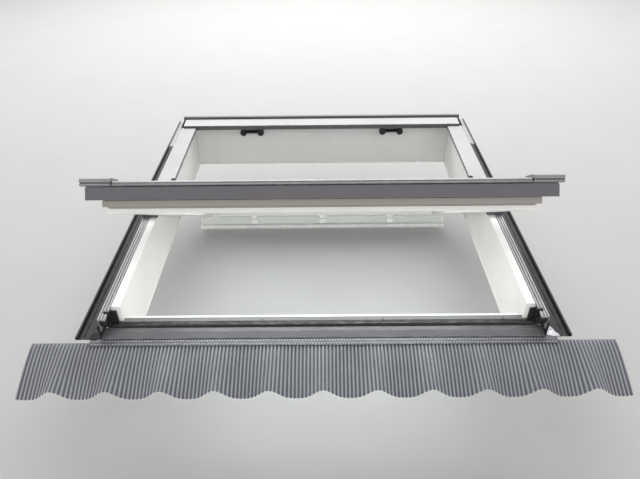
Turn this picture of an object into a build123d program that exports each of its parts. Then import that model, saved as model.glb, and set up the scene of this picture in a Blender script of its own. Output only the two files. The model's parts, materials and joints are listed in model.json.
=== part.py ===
from build123d import *
import math
import os

# Centre-pivot roof window with its frame and flashing, sash open as in the photo.
# X runs to the right, Y up the roof slope, Z out of the roof. The window lies flat.
# Every piece is placed from the outer faces of the wooden frame, so it follows the frame's two sizes.
# The sash pieces are drawn closed and are then turned about the pivot line.

# Driving sizes, in mm.
FRAME_W = 1340          # outside width of the wooden frame
FRAME_H = 1398          # outside height of the wooden frame
JAMB_T = 48             # thickness of a jamb and of the head
WOOD_TOP = 77           # top of the frame wood over the batten plane
WOOD_BOTTOM = -125      # inner edge of the frame wood
PIVOT_Z = 72            # pivot line over the batten plane
OPEN_DEG = 34           # how far the sash stands open at rest
SIDE_GAP = 12           # sash wood to jamb
END_GAP = 8             # sash wood to head
SASH_IN_Z = 5           # room face of the closed sash
SASH_WOOD_TOP = 80      # outer face of the sash wood
COVER_TOP = 96          # outer face of all the covers
COVER_OVERHANG = 6      # side covers past the frame wood
COVER_SKIRT_Z = 62      # lower edge of the upper covers
SHEET = 1.6             # thickness of the painted aluminium
HINGE_CLEAR_Y = 150     # the covers split this far below the pivot line

HALF_W = FRAME_W / 2
HALF_H = FRAME_H / 2
INNER_X = HALF_W - JAMB_T
HEAD_Y = HALF_H - JAMB_T
SASH_HALF_W = INNER_X - SIDE_GAP
SASH_TOP_R = HEAD_Y - END_GAP
COVER_HALF_W = HALF_W + COVER_OVERHANG

# Frame wood.
JAMB_STEP = 22
JAMB_STEP_Z = WOOD_TOP - 6
JAMB_FOOT_Z = 2
JAMB_END_Y = 47 - HALF_H
BLOCK_SEAT_Z = 14
BLOCK_IN_X = INNER_X + 12
LINING_GROOVE_Z = (WOOD_BOTTOM + 6, WOOD_BOTTOM + 12)
LINING_GROOVE = 3

# Sill, stepped down for the bottom rail of the sash.
SILL_TIE_Y = 105 - HALF_H
SILL_TIE_Z = 0
SILL_BEVEL = 36          # cut off the lower inner edge, so that the control bar clears it
SILL_LEDGE_Y = 75 - HALF_H
SILL_LEDGE_Z = 16
SILL_CHANNEL_Y = 54 - HALF_H
SILL_CHANNEL_Z = 8
SILL_SLOPE_Y = 39 - HALF_H
SILL_CREASE_Y = 18 - HALF_H
SILL_CREST_Z = 12.5
SLOPE_HALF_W = HALF_W + 2.9
SILL_SCREW_Y = 65 - HALF_H
SILL_SCREW_X = INNER_X - 62
SILL_SCREWS_X = (-SILL_SCREW_X, -SILL_SCREW_X / 3, SILL_SCREW_X / 3, SILL_SCREW_X)

# Grooved cladding on the lower jambs.
CLADDING_X = HALF_W - 20.4
CLADDING_TOP = WOOD_TOP + 3
GROOVE_DEPTH = 4.8
GROOVE_PITCH = 8.8
GROOVES = 2

# Bottom rail and its cover.
RAIL_W = 60
RAIL_HALF_W = INNER_X - 5
RAIL_IN_Y = 107 - HALF_H
RAIL_STEP_Y = 82 - HALF_H
RAIL_FRONT_Y = 43 - HALF_H
COVER_FRONT_Y = 34 - HALF_H
FACE_HALF_W = HALF_W - 9
FACE_LOW_Z = 42
END_SLOTS = 6
END_SLOT_PITCH = 5

# Glazing.
REBATE_W = 44
REBATE_Z = 57
GLASS_INSET = 46
GLASS_HALF_W = SASH_HALF_W - GLASS_INSET
GLASS_Y = (RAIL_IN_Y - 12, SASH_TOP_R - GLASS_INSET)
GLASS_T = 4
GLASS_GAP = 16
BEAD_W = 58
BEAD_IN_X = SASH_HALF_W - BEAD_W
BEAD_OUT_X = SASH_HALF_W - 22
BEAD_TOP = 92
SEAL_T = 2.4

# Hood and upper covers.
HOOD_Y = (HEAD_Y - 42, HALF_H + 4)
HOOD_Z = (104, 108)
HOOD_LIP_Z = 83
HOOD_BACK_Z = 60
HOOD_HALF_W = HALF_W - 4
LIP_X = INNER_X - 17
LIP_FROM_Y = 120
LIP_LOW_Z = 84

# Latch.
LATCH_X = 341
STRIKE_Y = HEAD_Y - 14
STRIKE_Z = 54
STRIKE_R = 4
KEEPER_HALF_W = 42
KEEPER_BOSS_R = 15.5
CLAW_Y = STRIKE_Y - 13
CLAW_Z = 34
CLAW_T = 10
CLAW_BAND = (28.4, 34)
CLAW_HUB_R = 9
CLAW_PIN_R = 4
POCKET_HALF_W = 62
POCKET_Y = SASH_TOP_R - 39
POCKET_Z = 19
RUN_FIT = 0.05

# Pivot.
PIN_R = 7
PLATE_T = 3

# Control bar.
BAR_HALF = SASH_HALF_W - 7
BAR_HINGE_Y = SASH_TOP_R - 39
BAR_HINGE_Z = -4
BAR_PIN_R = 3
BAR_XS = (-LATCH_X, 0, LATCH_X)

# Flashing.
FLASH_T = 1.2
APRON_HALF_W = HALF_W + 210
APRON_TOP_Y = -HALF_H - 13
APRON_LENGTH = 160
PLEAT_PITCH = 11
PLEAT_DEPTH = 4.4
PLEAT_T = 0.8
WAVE_PITCH = 155
WAVE_HEIGHT = 34
WAVE_FLAT = 0.2         # makes the hollows of the waves wider than the crests
APRON_TOP_Z = 1.9
APRON_DROP = 45
GUTTER_X = (HALF_W + 3.2, HALF_W + 82)
GUTTER_Y = (-HALF_H - 1, HEAD_Y - 55)
GUTTER_Z = 3
GUTTER_TOP = 56
GUTTER_RIB_X = HALF_W + 57
GUTTER_RIB = 3.5
TOP_FLASHING_REACH = 191

# Fixing brackets.
BRACKET_Y = HALF_H - 139
BRACKET_HOLE_X = HALF_W + 45
BRACKET_HOLE_R = 2.75
BRACKET_T = 2.5
BRACKET_SCREWS = ((-28, -40), (28, -40))

# Screws, all of one size.
SCREW_HEAD_R = 4.4
SCREW_HEAD_T = 2.4
SCREW_R = 2.1
SCREW_LENGTH = 16
PLATE_SCREWS = ((-24, PIVOT_Z - 16), (24, PIVOT_Z - 16))


def block(x0, x1, y0, y1, z0, z1, edge=0):
    """A box from its corner planes, with its edges cut back by edge."""
    size = (x1 - x0, y1 - y0, z1 - z0)
    part = Pos((x0 + x1) / 2, (y0 + y1) / 2, (z0 + z1) / 2) * Box(*size)
    if edge:
        part = chamfer(part.edges(), edge)
    return part


def along_x(points, x0, x1):
    """Extrudes an outline of (y, z) points from x0 to x1."""
    face = make_face(Polyline(*[(0, y, z) for y, z in points], close=True))
    return Pos(x0, 0, 0) * extrude(face, amount=x1 - x0, dir=(1, 0, 0))


def along_y(points, y0, y1):
    """Extrudes an outline of (x, z) points from y0 to y1."""
    face = make_face(Polyline(*[(x, 0, z) for x, z in points], close=True))
    return Pos(0, y0, 0) * extrude(face, amount=y1 - y0, dir=(0, 1, 0))


def rod_x(x0, x1, y, z, radius):
    """A round bar along X."""
    return Pos((x0 + x1) / 2, y, z) * Rot(0, 90, 0) * Cylinder(radius, x1 - x0)


def rod_y(x, y0, y1, z, radius):
    """A round bar along Y."""
    return Pos(x, (y0 + y1) / 2, z) * Rot(90, 0, 0) * Cylinder(radius, y1 - y0)


def rod_z(x, y, z0, z1, radius):
    """A round bar along Z."""
    return Pos(x, y, (z0 + z1) / 2) * Cylinder(radius, z1 - z0)


def sheet(path, thickness):
    """Outline of a bent sheet: the path and the same path set off to its left."""
    normals = []
    for (ax, ay), (bx, by) in zip(path, path[1:]):
        length = math.hypot(bx - ax, by - ay)
        normals.append(((ay - by) / length, (bx - ax) / length))
    inner = []
    for i, (px, py) in enumerate(path):
        before = normals[max(i - 1, 0)]
        after = normals[min(i, len(normals) - 1)]
        sx, sy = before[0] + after[0], before[1] + after[1]
        scale = 2 * thickness / (sx * sx + sy * sy)
        inner.append((px + sx * scale, py + sy * scale))
    return list(path) + inner[::-1]


def mirrored(part):
    """The same piece on the other side of the window."""
    return mirror(part, about=Plane.YZ)


def both(name, part, nodes):
    """Adds a right-hand piece and its left-hand mirror image."""
    nodes[name + "_right"] = part
    nodes[name + "_left"] = mirrored(part)


def swung(part):
    """Turns a closed sash piece about the pivot line into the open pose."""
    return Pos(0, 0, PIVOT_Z) * Rot(-OPEN_DEG, 0, 0) * Pos(0, 0, -PIVOT_Z) * part


# Wooden frame

def jamb():
    low, high = LINING_GROOVE_Z
    outline = [
        (INNER_X, WOOD_BOTTOM), (HALF_W, WOOD_BOTTOM), (HALF_W, JAMB_STEP_Z),
        (HALF_W - JAMB_STEP, JAMB_STEP_Z),
        (HALF_W - JAMB_STEP, WOOD_TOP), (INNER_X + 2, WOOD_TOP), (INNER_X, WOOD_TOP - 2), (INNER_X, high),
        (INNER_X + LINING_GROOVE, high), (INNER_X + LINING_GROOVE, low), (INNER_X, low),
    ]
    side = along_y(outline, JAMB_END_Y, HALF_H)
    side -= block(BLOCK_IN_X, HALF_W + 1, JAMB_END_Y - 1, SILL_LEDGE_Y - 8, BLOCK_SEAT_Z, WOOD_TOP + 1)
    foot = block(INNER_X, HALF_W, -HALF_H, JAMB_END_Y, WOOD_BOTTOM, JAMB_FOOT_Z)
    part = side + foot - rod_x(INNER_X - 1, INNER_X + 18, 0, PIVOT_Z, PIN_R + 1)
    for y, z in PLATE_SCREWS:
        part -= rod_x(INNER_X - 1, INNER_X + SCREW_LENGTH, y, z, SCREW_R)
    for middle in (-BRACKET_Y, BRACKET_Y):
        for dy, z in BRACKET_SCREWS:
            part -= rod_x(HALF_W - SCREW_LENGTH, HALF_W + 1, middle + dy, z, SCREW_R)
    return part


def head():
    low, high = LINING_GROOVE_Z
    outline = [
        (HEAD_Y, WOOD_BOTTOM), (HALF_H, WOOD_BOTTOM), (HALF_H, WOOD_TOP), (HEAD_Y + 2, WOOD_TOP),
        (HEAD_Y, WOOD_TOP - 2), (HEAD_Y, high), (HEAD_Y + LINING_GROOVE, high),
        (HEAD_Y + LINING_GROOVE, low), (HEAD_Y, low),
    ]
    return along_x(outline, -INNER_X, INNER_X)


def sill():
    shoulder = SILL_LEDGE_Z - SHEET - 0.9
    outline = [
        (SILL_TIE_Y - SILL_BEVEL, WOOD_BOTTOM), (SILL_TIE_Y, WOOD_BOTTOM + SILL_BEVEL),
        (SILL_TIE_Y, SILL_TIE_Z), (SILL_LEDGE_Y, SILL_TIE_Z),
        (SILL_LEDGE_Y, shoulder), (SILL_CHANNEL_Y + 2, shoulder), (SILL_CHANNEL_Y + 2, SILL_CHANNEL_Z - 4),
        (SILL_SLOPE_Y, SILL_CHANNEL_Z - 4), (-HALF_H, SILL_CHANNEL_Z - 7), (-HALF_H, WOOD_BOTTOM),
    ]
    part = along_x(outline, -INNER_X, INNER_X)
    for x in SILL_SCREWS_X:
        part -= rod_z(x, SILL_SCREW_Y, SILL_LEDGE_Z - SCREW_LENGTH, SILL_LEDGE_Z, SCREW_R)
    return part


def sill_cladding():
    front = -HALF_H - SHEET
    ledge = [
        (SILL_LEDGE_Y + SHEET, SILL_TIE_Z + 2), (SILL_LEDGE_Y + SHEET, SILL_LEDGE_Z),
        (SILL_CHANNEL_Y, SILL_LEDGE_Z), (SILL_CHANNEL_Y, SILL_CHANNEL_Z), (SILL_SLOPE_Y, SILL_CHANNEL_Z),
    ]
    slope = [
        (SILL_SLOPE_Y + SHEET, SILL_CHANNEL_Z - SHEET), (SILL_SLOPE_Y + SHEET, SILL_CREST_Z - 0.5),
        (SILL_SLOPE_Y - 3, SILL_CREST_Z), (SILL_CREASE_Y, SILL_CREST_Z - 3),
        (-HALF_H + 1, SILL_CREST_Z - 5), (front, SILL_CREST_Z - 8.5), (front, SILL_CREST_Z - 26.5),
    ]
    part = along_x(sheet(ledge, SHEET), 6 - INNER_X, INNER_X - 6)
    part += along_x(sheet(slope, SHEET), -SLOPE_HALF_W, SLOPE_HALF_W)
    for x in SILL_SCREWS_X:
        part -= rod_z(x, SILL_SCREW_Y, 0, SILL_LEDGE_Z + 1, SCREW_R)
    return part


def sill_gasket():
    lip = [(1.5, 0), (1.5, 5), (3, 9), (6, 12), (9, 12), (11.5, 8), (12, 3), (13.2, 0)]
    outline = [(SILL_CHANNEL_Y - y, SILL_CHANNEL_Z + z) for y, z in lip]
    return along_x(outline, 8 - INNER_X, INNER_X - 8)


def jamb_cladding():
    path = [(CLADDING_X, WOOD_TOP - 5), (CLADDING_X, CLADDING_TOP)]
    for i in range(GROOVES):
        x = CLADDING_X + 4.3 + GROOVE_PITCH * i
        path += [
            (x, CLADDING_TOP), (x, CLADDING_TOP - GROOVE_DEPTH),
            (x + GROOVE_PITCH / 2, CLADDING_TOP - GROOVE_DEPTH),
            (x + GROOVE_PITCH / 2, CLADDING_TOP),
        ]
    path += [(HALF_W + 1.5, CLADDING_TOP), (HALF_W + 1.5, WOOD_TOP - 49)]
    part = along_y(sheet(path[::-1], 1.4), 7 - HALF_H, -HINGE_CLEAR_Y + 1)
    slot = (COVER_FRONT_Y - 3, RAIL_FRONT_Y + 2)
    return part - block(CLADDING_X - 1, FACE_HALF_W + 3, *slot, WOOD_TOP - 6, CLADDING_TOP + 1)


def corner_block():
    """Black moulding at the foot of a jamb, with a slot that takes the face of the sash cover."""
    back, low = SILL_LEDGE_Y - 8.2, BLOCK_SEAT_Z + 0.2
    x0, x1 = HALF_W - 19, HALF_W - 2
    nose = block(BLOCK_IN_X + 0.2, HALF_W - 18, JAMB_END_Y + 0.2, back, low, WOOD_TOP - 15)
    nose = chamfer(nose.edges().filter_by(Axis.X).sort_by(Axis.Z)[-2:], 4)
    post = block(x0, x1, RAIL_FRONT_Y + 2, back, low, JAMB_STEP_Z - 0.5)
    bridge = block(x0, x1, COVER_FRONT_Y - 4, RAIL_FRONT_Y + 2, 30, FACE_LOW_Z - 3)
    tip, slot = 9 - HALF_H, COVER_FRONT_Y - 4
    front = [(tip, JAMB_STEP_Z - 0.5), (tip, 56), (slot - 5, 30), (slot, 30), (slot, JAMB_STEP_Z - 0.5)]
    return nose + post + bridge + along_x(front, x0, x1)


def keeper(x):
    part = block(x - KEEPER_HALF_W, x + KEEPER_HALF_W, HEAD_Y - 3, HEAD_Y, STRIKE_Z - 9, STRIKE_Z + 9)
    for side in (-KEEPER_HALF_W, KEEPER_HALF_W):
        part += rod_y(x + side, STRIKE_Y - 6, HEAD_Y, STRIKE_Z, KEEPER_BOSS_R)
    part += rod_x(x - KEEPER_HALF_W + 8, x + KEEPER_HALF_W - 8, STRIKE_Y, STRIKE_Z, STRIKE_R)
    return part


# Covers fixed to the frame

def hood():
    front, back = HOOD_Y
    path = [
        (back, HOOD_BACK_Z), (back, HOOD_Z[1] - 3), (back - 3, HOOD_Z[1]), (front + 3, HOOD_Z[0]),
        (front, HOOD_Z[0] - 3), (front, HOOD_LIP_Z), (front + 9, HOOD_LIP_Z),
    ]
    shell = along_x(sheet(path, SHEET), -HOOD_HALF_W, HOOD_HALF_W)
    cap = [(back, HOOD_LIP_Z + 1)] + path[1:6]
    for x in (-HOOD_HALF_W, HOOD_HALF_W - SHEET):
        shell += along_x(cap, x, x + SHEET)
    return shell


def upper_cover():
    edge = INNER_X - 4
    low_y, high_y = -HINGE_CLEAR_Y + 5, HOOD_Y[0] - 2
    outer = [(COVER_HALF_W, COVER_SKIRT_Z), (COVER_HALF_W, COVER_TOP - 2), (COVER_HALF_W - 2, COVER_TOP)]
    upper = outer + [(LIP_X + 1, COVER_TOP), (LIP_X, COVER_TOP - 1), (LIP_X, LIP_LOW_Z)]
    lower = outer + [(edge + 1, COVER_TOP), (edge, COVER_TOP - 1), (edge, WOOD_TOP + 1)]
    part = along_y(sheet(upper, SHEET), LIP_FROM_Y, high_y)
    part += along_y(sheet(lower, SHEET), low_y, LIP_FROM_Y)
    part += block(HALF_W - 30, HALF_W - 30 + SHEET, low_y, high_y, WOOD_TOP, COVER_TOP - 1)
    cap = outer[::-1] + [
        (COVER_HALF_W - 3, COVER_SKIRT_Z), (COVER_HALF_W - 3, WOOD_TOP + 1), (edge, WOOD_TOP + 1),
        (edge, COVER_TOP - 1), (edge + 1, COVER_TOP),
    ]
    part += along_y(cap, low_y, low_y + SHEET)
    part += block(LIP_X + 0.4, INNER_X, LIP_FROM_Y, LIP_FROM_Y + SHEET, LIP_LOW_Z, COVER_TOP - 1)
    return part - block(INNER_X - 6, INNER_X + 1, -38, 38, WOOD_TOP, COVER_TOP - 4)


# Pivot plates

def frame_plate():
    plate = block(INNER_X - PLATE_T, INNER_X, -34, 34, PIVOT_Z - 26, PIVOT_Z + 18)
    plate = chamfer(plate.edges().filter_by(Axis.X), 6)
    plate -= rod_x(INNER_X - 4, INNER_X + 1, 0, PIVOT_Z, PIN_R + RUN_FIT)
    for y, z in PLATE_SCREWS:
        plate -= rod_x(INNER_X - 4, INNER_X + 1, y, z, SCREW_R)
    return plate


def sash_plate():
    plate = block(SASH_HALF_W, SASH_HALF_W + PLATE_T, -30, 30, PIVOT_Z - 32, SASH_WOOD_TOP - 1)
    plate = chamfer(plate.edges().filter_by(Axis.X), 5)
    plate += rod_x(SASH_HALF_W + 2, INNER_X + 12, 0, PIVOT_Z, PIN_R)
    return plate


# Sash

def stile():
    inner, rebate = SASH_HALF_W - RAIL_W, SASH_HALF_W - REBATE_W
    outline = [
        (inner, SASH_IN_Z + 2), (inner + 2, SASH_IN_Z), (SASH_HALF_W - 2, SASH_IN_Z),
        (SASH_HALF_W, SASH_IN_Z + 2), (SASH_HALF_W, SASH_WOOD_TOP), (rebate, SASH_WOOD_TOP),
        (rebate, REBATE_Z), (inner, REBATE_Z),
    ]
    return along_y(outline, RAIL_IN_Y, SASH_TOP_R)


def top_rail():
    inner, rebate = SASH_TOP_R - RAIL_W, SASH_TOP_R - REBATE_W
    outline = [
        (inner, SASH_IN_Z + 2), (inner + 2, SASH_IN_Z), (SASH_TOP_R - 2, SASH_IN_Z),
        (SASH_TOP_R, SASH_IN_Z + 2), (SASH_TOP_R, SASH_WOOD_TOP), (rebate, SASH_WOOD_TOP),
        (rebate, REBATE_Z), (inner, REBATE_Z),
    ]
    half = SASH_HALF_W - RAIL_W
    rail = along_x(outline, -half, half)
    for x in (-LATCH_X, LATCH_X):
        x0, x1 = x - POCKET_HALF_W, x + POCKET_HALF_W
        rail -= block(x0, x1, POCKET_Y, SASH_TOP_R + 1, POCKET_Z, SASH_WOOD_TOP + 1)
        rail -= block(x - 8, x + 8, inner + 4, POCKET_Y + 1, POCKET_Z, REBATE_Z + 9)
    return rail


def bottom_rail():
    step, z = RAIL_STEP_Y, SASH_IN_Z
    outline = [
        (RAIL_IN_Y, z + 2), (RAIL_IN_Y - 2, z), (step, z), (step, z + 6.5), (step + 1, z + 7),
        (step - 1, z + 7.5), (step - 1, z + 14), (step + 5, z + 14), (step + 5, z + 18),
        (RAIL_FRONT_Y, z + 18), (RAIL_FRONT_Y, z + 36), (RAIL_FRONT_Y + 6, z + 36),
        (RAIL_FRONT_Y + 6, SASH_WOOD_TOP - 2), (GLASS_Y[0] - 2, SASH_WOOD_TOP - 2),
        (GLASS_Y[0] - 2, REBATE_Z), (RAIL_IN_Y, REBATE_Z),
    ]
    return along_x(outline, -RAIL_HALF_W, RAIL_HALF_W)


def glazing(nodes):
    x, (y0, y1) = GLASS_HALF_W, GLASS_Y
    z0 = REBATE_Z + 0.5
    z1 = z0 + GLASS_T
    z2 = z1 + GLASS_GAP
    z3 = z2 + GLASS_T
    nodes["pane_inner"] = block(-x, x, y0, y1, z0, z1)
    nodes["pane_outer"] = block(-x, x, y0, y1, z2, z3)
    ring = block(-x + 2, x - 2, y0 + 2, y1 - 2, z1, z2)
    nodes["pane_spacer"] = ring - block(-x + 12, x - 12, y0 + 12, y1 - 12, z1, z2)
    seal = block(-x + 1, x - 1, y0 + 1, y1 - 1, z3, z3 + SEAL_T)
    nodes["glazing_seal"] = seal - block(-x + 14, x - 14, y0 + 14, y1 - 14, z3, z3 + SEAL_T)
    low = z3 + SEAL_T
    rebate = SASH_HALF_W - REBATE_W
    side = [
        (BEAD_IN_X, low), (rebate, low), (rebate, SASH_WOOD_TOP), (BEAD_OUT_X, SASH_WOOD_TOP),
        (BEAD_OUT_X, BEAD_TOP - 1), (BEAD_OUT_X - 1, BEAD_TOP), (BEAD_IN_X + 7, BEAD_TOP),
        (BEAD_IN_X, BEAD_TOP - 5),
    ]
    both("bead", along_y(side, y0 + 4, SASH_TOP_R - 37), nodes)
    inner, outer = SASH_TOP_R - BEAD_W, SASH_TOP_R - 38
    rebate = SASH_TOP_R - REBATE_W + 0.5
    top = [
        (inner, low), (rebate, low), (rebate, SASH_WOOD_TOP), (outer, SASH_WOOD_TOP), (outer, BEAD_TOP - 1),
        (outer - 1, BEAD_TOP), (inner + 7, BEAD_TOP), (inner, BEAD_TOP - 5),
    ]
    nodes["bead_top"] = along_x(top, 0.4 - BEAD_IN_X, BEAD_IN_X - 0.4)


def bottom_cover():
    front, back, top = COVER_FRONT_Y, GLASS_Y[0] + 3.5, COVER_TOP
    path = [
        (RAIL_FRONT_Y, FACE_LOW_Z), (front, FACE_LOW_Z), (front, top - 16.4), (front - 3.5, top - 15.9),
        (front - 3.5, top - 13), (front + 2.7, top - 8.8), (front + 3.7, top - 5), (front + 8.8, top),
        (back - 1.5, top), (back, top - 1.5), (back, top - 12),
    ]
    part = along_x(sheet(path[::-1], SHEET), 0.5 - BEAD_OUT_X, BEAD_OUT_X - 0.5)
    face = [
        (RAIL_FRONT_Y, FACE_LOW_Z), (front, FACE_LOW_Z), (front, top - 16.5), (RAIL_FRONT_Y, top - 16.5),
    ]
    part += along_x(sheet(face[::-1], SHEET), -FACE_HALF_W, FACE_HALF_W)
    return part


def side_cover():
    path = [
        (COVER_HALF_W, CLADDING_TOP + 4), (COVER_HALF_W, COVER_TOP - 2), (COVER_HALF_W - 2, COVER_TOP),
        (BEAD_OUT_X + 3, COVER_TOP), (BEAD_OUT_X + 2, COVER_TOP - 1), (BEAD_OUT_X + 2, SASH_WOOD_TOP),
    ]
    part = along_y(sheet(path, SHEET), COVER_FRONT_Y + 2, -HINGE_CLEAR_Y)
    web = SASH_HALF_W - 4
    part += block(web, web + SHEET, RAIL_IN_Y, -HINGE_CLEAR_Y, SASH_WOOD_TOP, COVER_TOP - 1)
    return part


def cover_end():
    """Moulded end of a side cover: two noses, the upper one slotted beside the bottom cover."""
    x0, x1, y, top = BEAD_OUT_X + 2, COVER_HALF_W, COVER_FRONT_Y, COVER_TOP
    outline = [
        (y + SHEET, top - 15.4), (y - 5, top - 15.4), (y - 5, top - 13.6), (y - 1.5, top - 11.2),
        (y - 1.5, top - 0.5), (y - 5.5, top + 1.5), (y - 5.5, top + 4.3), (y + SHEET, top + 9),
    ]
    part = along_x(outline, x0, x1)
    for i in range(END_SLOTS):
        x = x0 + 5 + END_SLOT_PITCH * i
        part -= block(x, x + 2.4, y - 6, y - 1.5, top, top + 10)
    return part


# Latch and control bar

def latch_case(x):
    y0, y1 = CLAW_Y - 16, CLAW_Y + 16
    part = block(x - 9.5, x + 9.5, y0, y1, POCKET_Z, POCKET_Z + 3)
    for side in (-9.5, 6.5):
        part += block(x + side, x + side + 3, y0, y1, POCKET_Z, CLAW_Z + 10)
    part -= rod_x(x - 12, x + 12, CLAW_Y, CLAW_Z, CLAW_PIN_R + RUN_FIT)
    return part


def arc_points(radius, start, end, steps):
    """Points on an arc about the claw pin, in the plane of Y and Z."""
    points = []
    for i in range(steps + 1):
        angle = math.radians(start + (end - start) * i / steps)
        points.append((CLAW_Y + radius * math.cos(angle), CLAW_Z + radius * math.sin(angle)))
    return points


def claw(x):
    inner, outer = CLAW_BAND
    half = CLAW_T / 2
    band = arc_points(outer, 118, 176, 12) + arc_points(inner, 176, 118, 12)
    web = arc_points(outer - 0.2, 162, 176, 4) + arc_points(3, 176, 162, 2)
    part = along_x(band, x - half, x + half) + along_x(web, x - half, x + half)
    part += rod_x(x - half, x + half, CLAW_Y, CLAW_Z, CLAW_HUB_R)
    part += rod_x(x - 9, x + 9, CLAW_Y, CLAW_Z, CLAW_PIN_R)
    return part


def control_bar():
    y, z = BAR_HINGE_Y, BAR_HINGE_Z
    path = [
        (y - 5, z + 3), (y - 5, z - 32), (y - 20, z - 36), (y - 23, z - 43), (y - 18, z - 53),
        (y - 4, z - 57),
    ]
    part = along_x(sheet(path, 2.4), -BAR_HALF, BAR_HALF)
    for x in BAR_XS:
        part -= block(x - 16, x + 16, y - 6, y - 1, z - 13, z + 4)
    return part


def bar_cap():
    y, z = BAR_HINGE_Y, BAR_HINGE_Z
    outline = [
        (y, z + 2), (y, z - 33), (y - 2, z - 59), (y - 19, z - 56.5), (y - 26, z - 43), (y - 22, z - 34),
        (y - 8, z - 30), (y - 8, z + 2),
    ]
    return along_x(outline, BAR_HALF, BAR_HALF + 5)


def bar_hinge(x):
    y, z = BAR_HINGE_Y, BAR_HINGE_Z
    part = block(x - 10, x + 10, y - 8, y + 8, z - 5.5, SASH_IN_Z, 1)
    part += block(x - 20, x + 20, y - 8, y + 8, SASH_IN_Z - 4, SASH_IN_Z)
    return part - rod_x(x - 12, x + 12, y, z, BAR_PIN_R + RUN_FIT)


def bar_bracket(x):
    y, z = BAR_HINGE_Y, BAR_HINGE_Z
    part = block(x - 15, x + 15, y - 8.5, y - 5, z - 30, z - 9)
    part = chamfer(part.edges().filter_by(Axis.Z), 1)
    cheek = [
        (y - 8.5, z - 24), (y - 5, z - 24), (y - 5, z - 12), (y + 3, z - 4.5), (y + 4.5, z), (y + 2, z + 4),
        (y - 2, z + 4), (y - 5, z + 2), (y - 8.5, z - 10),
    ]
    for side in (-14, 10.8):
        part += along_x(cheek, x + side, x + side + 3.2)
    return part + rod_x(x - 13, x + 13, y, z, BAR_PIN_R)


# Flashing

def front_flashing():
    fold = [(3.2, -16), (3.2, 3), (5, 5), (13, 4.4), (14.5, 6), (16, 4.2), (28, 2.6)]
    path = [(-HALF_H - y, z) for y, z in reversed(fold)]
    return along_x(sheet(path, FLASH_T), -HALF_W - 36, HALF_W + 36)


def apron():
    """Pleated sheet whose lower edge is dressed down to the waves of the tiles."""
    count = round(2 * APRON_HALF_W / PLEAT_PITCH) * 2
    step = 2 * APRON_HALF_W / count
    sections = []
    for share in (0, 0.5, 1):
        y = APRON_TOP_Y - APRON_LENGTH * share
        drop = APRON_DROP * share ** 1.3
        top = []
        for i in range(count + 1):
            x = -APRON_HALF_W + step * i
            turn = 2 * math.pi * x / WAVE_PITCH
            wave = 0.5 * WAVE_HEIGHT * share ** 1.5 * (math.cos(turn) + WAVE_FLAT * (math.cos(2 * turn) - 1))
            pleat = PLEAT_DEPTH / 2 * (1 if i % 2 else -1)
            top.append((x, y, APRON_TOP_Z + wave + pleat - drop))
        low = [(x, y, z - PLEAT_T) for x, y, z in reversed(top)]
        sections.append(make_face(Polyline(*(top + low), close=True)))
    return loft(sections, ruled=True)


def gutter():
    x0, x1 = GUTTER_X
    rib = GUTTER_RIB_X
    path = [
        (x0, GUTTER_TOP), (x0, GUTTER_Z), (rib, GUTTER_Z), (rib + 2.5, GUTTER_Z + GUTTER_RIB),
        (rib + 5, GUTTER_Z),
        (x1, GUTTER_Z), (x1, GUTTER_Z + 10), (x1 - 8, GUTTER_Z + 12),
    ]
    return along_y(sheet(path, FLASH_T), *GUTTER_Y)


def flashing_corner():
    """Bright three-cornered fold beside the end of the sill."""
    x0, x1, y0, y1 = HALF_W + 5.5, HALF_W + 48, -HALF_H - 1, 59 - HALF_H
    z = GUTTER_Z + FLASH_T
    low = [(x0, y0, z + 0.2), (x1, y0, z + 0.2), (x0, y1, SILL_LEDGE_Z)]
    high = [(x0, y0, z + 4.8), (x1, y0, z + 1.4), (x0, y1, SILL_LEDGE_Z + 1.2)]
    base = Polyline(*low, close=True)
    top = Polyline(*high, close=True)
    return loft([make_face(base), make_face(top)], ruled=True)


def top_flashing():
    floor, end, crest = GUTTER_Z, HALF_H + TOP_FLASHING_REACH, COVER_TOP + 5
    y0 = GUTTER_Y[1] + 2
    path = [
        (HALF_H + 6, HOOD_BACK_Z), (HALF_H + 6, crest - 3), (HALF_H + 13, crest), (HALF_H + 53, crest - 2),
        (HALF_H + 91, floor), (end - 2, floor), (end, floor + 8), (end - 10, floor + 9),
    ]
    half = HALF_W + 8
    part = along_x(sheet(path, FLASH_T), -half, half)
    lip = [
        (y0, floor), (y0, LIP_LOW_Z), (y0 + 6, crest - 2.4), (HALF_H + 7, crest - 2.4),
        (HALF_H + 13, crest + 0.6), (HALF_H + 53, crest - 1.4), (HALF_H + 91.5, floor),
    ]
    for side in (-1, 1):
        x0, x1 = sorted((side * (half - FLASH_T), side * half))
        part += along_x(lip, x0, x1)
        x0, x1 = sorted((side * (half - 1), side * GUTTER_X[1]))
        part += block(x0, x1, y0, end - 2, floor, floor + FLASH_T)
        x0, x1 = sorted((side * GUTTER_X[1], side * (GUTTER_X[1] - FLASH_T)))
        part += block(x0, x1, y0, end - 2, floor, floor + 10)
    return part


# Fixings

def bracket(middle):
    plate = block(HALF_W, HALF_W + BRACKET_T, middle - 45, middle + 45, -58, BRACKET_T)
    part = plate + block(HALF_W, HALF_W + 62, middle - 45, middle + 45, 0, BRACKET_T)
    for dy, z in BRACKET_SCREWS:
        part -= rod_x(HALF_W - 1, HALF_W + 4, middle + dy, z, SCREW_R)
    return part - rod_z(BRACKET_HOLE_X, middle, -1, BRACKET_T + 1, BRACKET_HOLE_R)


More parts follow.
